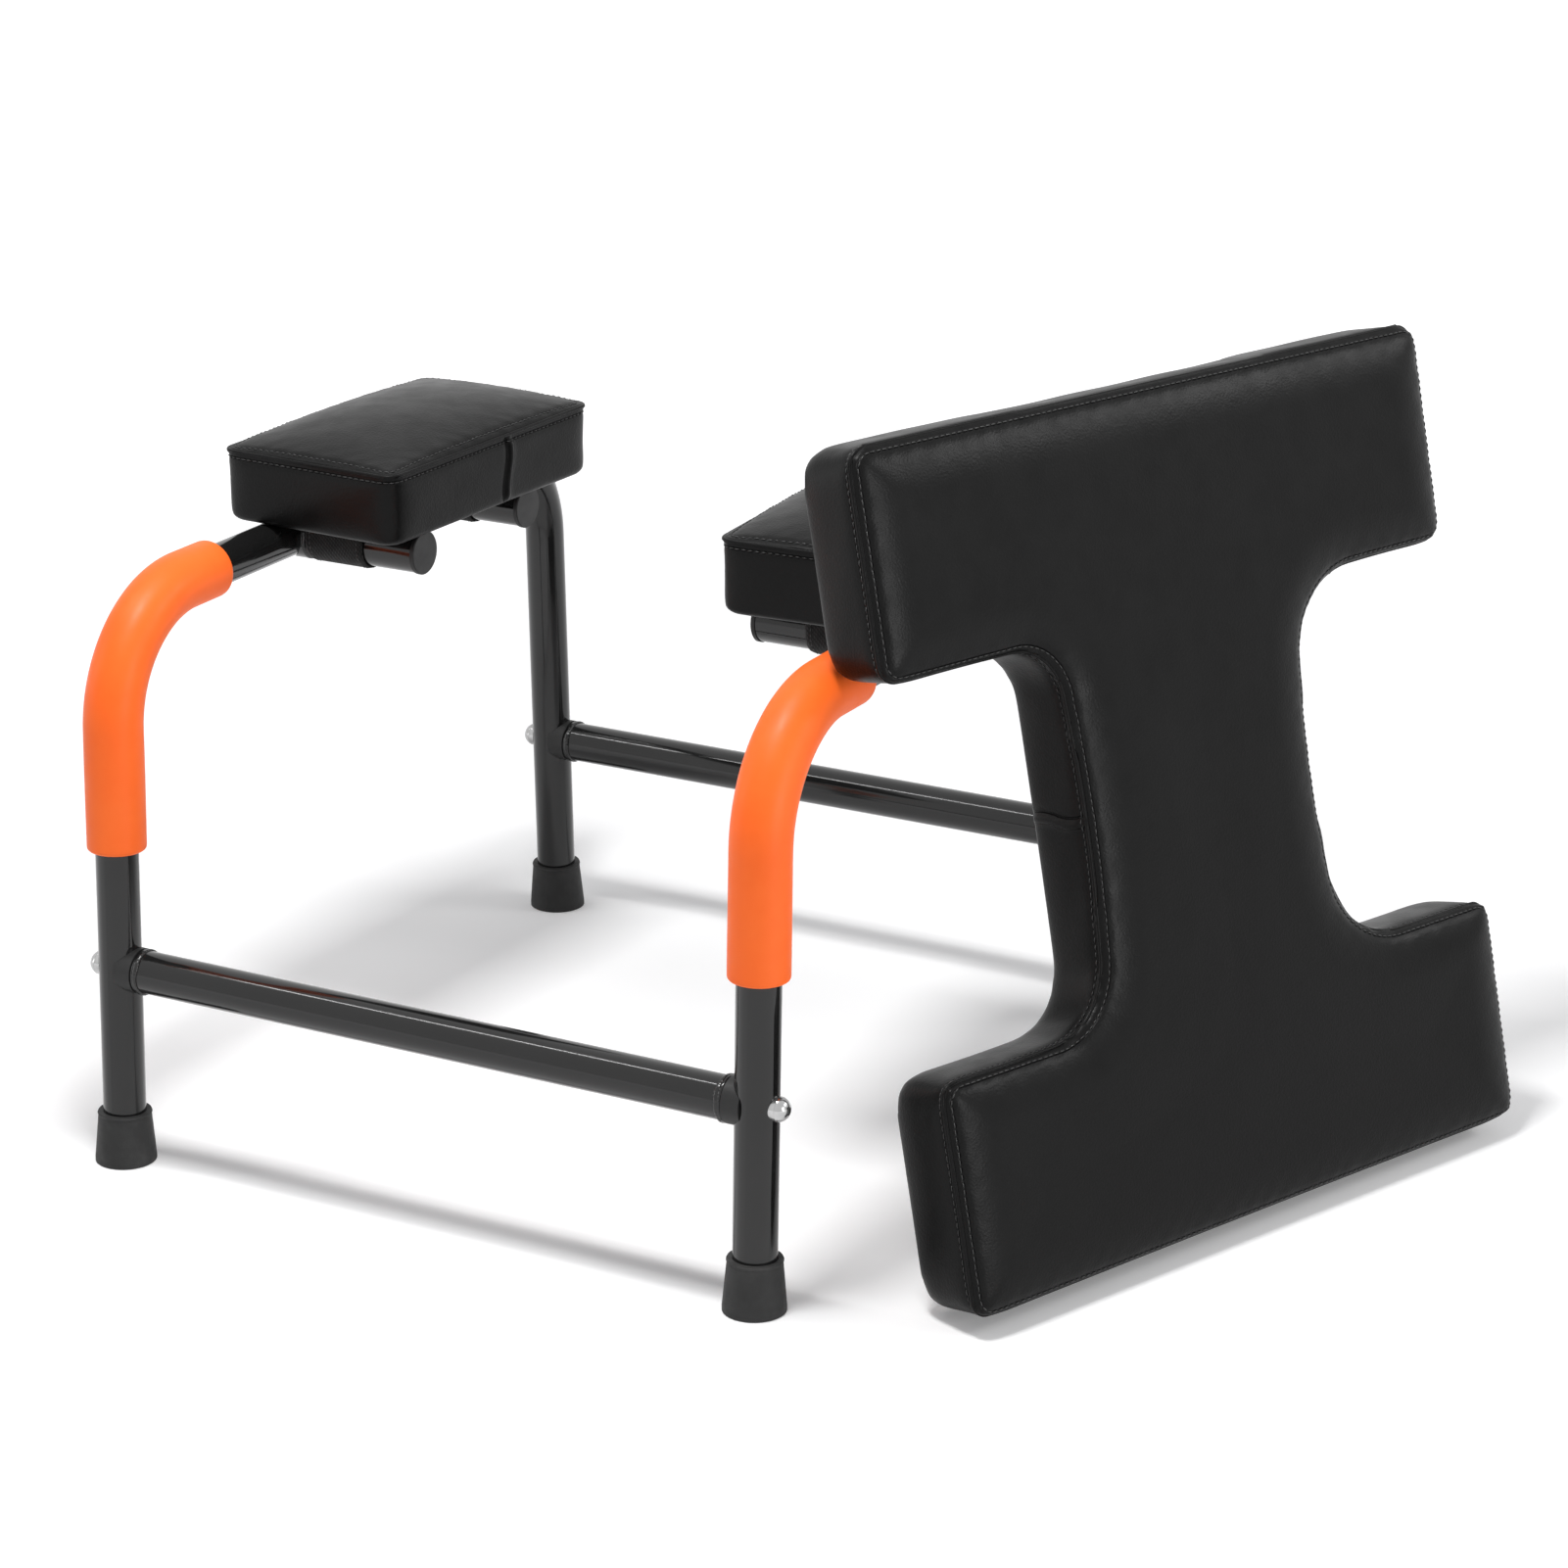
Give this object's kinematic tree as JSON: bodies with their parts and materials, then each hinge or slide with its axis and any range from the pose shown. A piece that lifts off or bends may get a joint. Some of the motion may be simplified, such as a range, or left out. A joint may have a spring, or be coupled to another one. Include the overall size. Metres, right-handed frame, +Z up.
{
  "type": "headstand stool",
  "caption": "Stool for supported headstands: bent black tube side frames with orange hand grips carry black shoulder pads beside a head gap; a loose H-shaped seat pad leans against it.",
  "frame": {"origin": "on the floor, under the middle of the box round the stool and its leaning pad", "axes": "+X from the stool's left frame to its right frame and on to the leaning pad, -Y to the front with the grips, +Z up"},
  "size_m": [0.8106, 0.58, 0.5292],
  "materials": {
    "tube_black": "gloss",
    "cap_black": "matte",
    "rubber_black": "matte",
    "bolt_chrome": "gloss",
    "webbing_black": "matte",
    "grip_orange": "matte",
    "vinyl_black": "satin",
    "foam_cream": "matte",
    "board_tan": "matte"
  },
  "bodies": {
    "stool": {"left_side_tube": "tube_black", "right_side_tube": "tube_black", "front_left_foot": "rubber_black", "front_right_foot": "rubber_black", "rear_left_foot": "rubber_black", "rear_right_foot": "rubber_black", "front_rail": "tube_black", "rear_rail": "tube_black", "front_left_rail_nut": "tube_black", "front_right_rail_nut": "tube_black", "rear_left_rail_nut": "tube_black", "rear_right_rail_nut": "tube_black", "front_left_saddle": "cap_black", "front_right_saddle": "cap_black", "rear_left_saddle": "cap_black", "rear_right_saddle": "cap_black", "front_left_washer": "bolt_chrome", "front_right_washer": "bolt_chrome", "rear_left_washer": "bolt_chrome", "rear_right_washer": "bolt_chrome", "front_left_bolt": "bolt_chrome", "front_right_bolt": "bolt_chrome", "rear_left_bolt": "bolt_chrome", "rear_right_bolt": "bolt_chrome", "front_left_arm": "tube_black", "front_right_arm": "tube_black", "rear_left_arm": "tube_black", "rear_right_arm": "tube_black", "front_left_arm_cap": "cap_black", "front_right_arm_cap": "cap_black", "rear_left_arm_cap": "cap_black", "rear_right_arm_cap": "cap_black", "front_left_strap": "webbing_black", "front_right_strap": "webbing_black", "rear_left_strap": "webbing_black", "rear_right_strap": "webbing_black", "left_grip": "grip_orange", "right_grip": "grip_orange", "left_pad_cover": "vinyl_black", "left_pad_foam": "foam_cream", "left_pad_board": "board_tan", "left_pad_backing": "webbing_black", "right_pad_cover": "vinyl_black", "right_pad_foam": "foam_cream", "right_pad_board": "board_tan", "right_pad_backing": "webbing_black"},
    "large_pad": {"large_pad_cover": "vinyl_black", "large_pad_foam": "foam_cream", "large_pad_board": "board_tan", "large_pad_backing": "webbing_black"}
  },
  "joints": [
    {"name": "pad_slide", "type": "slide", "parent": "stool", "child": "large_pad", "axis": [0.9373, -0.3486, 0], "range_m": [0, 0.25]}
  ]
}
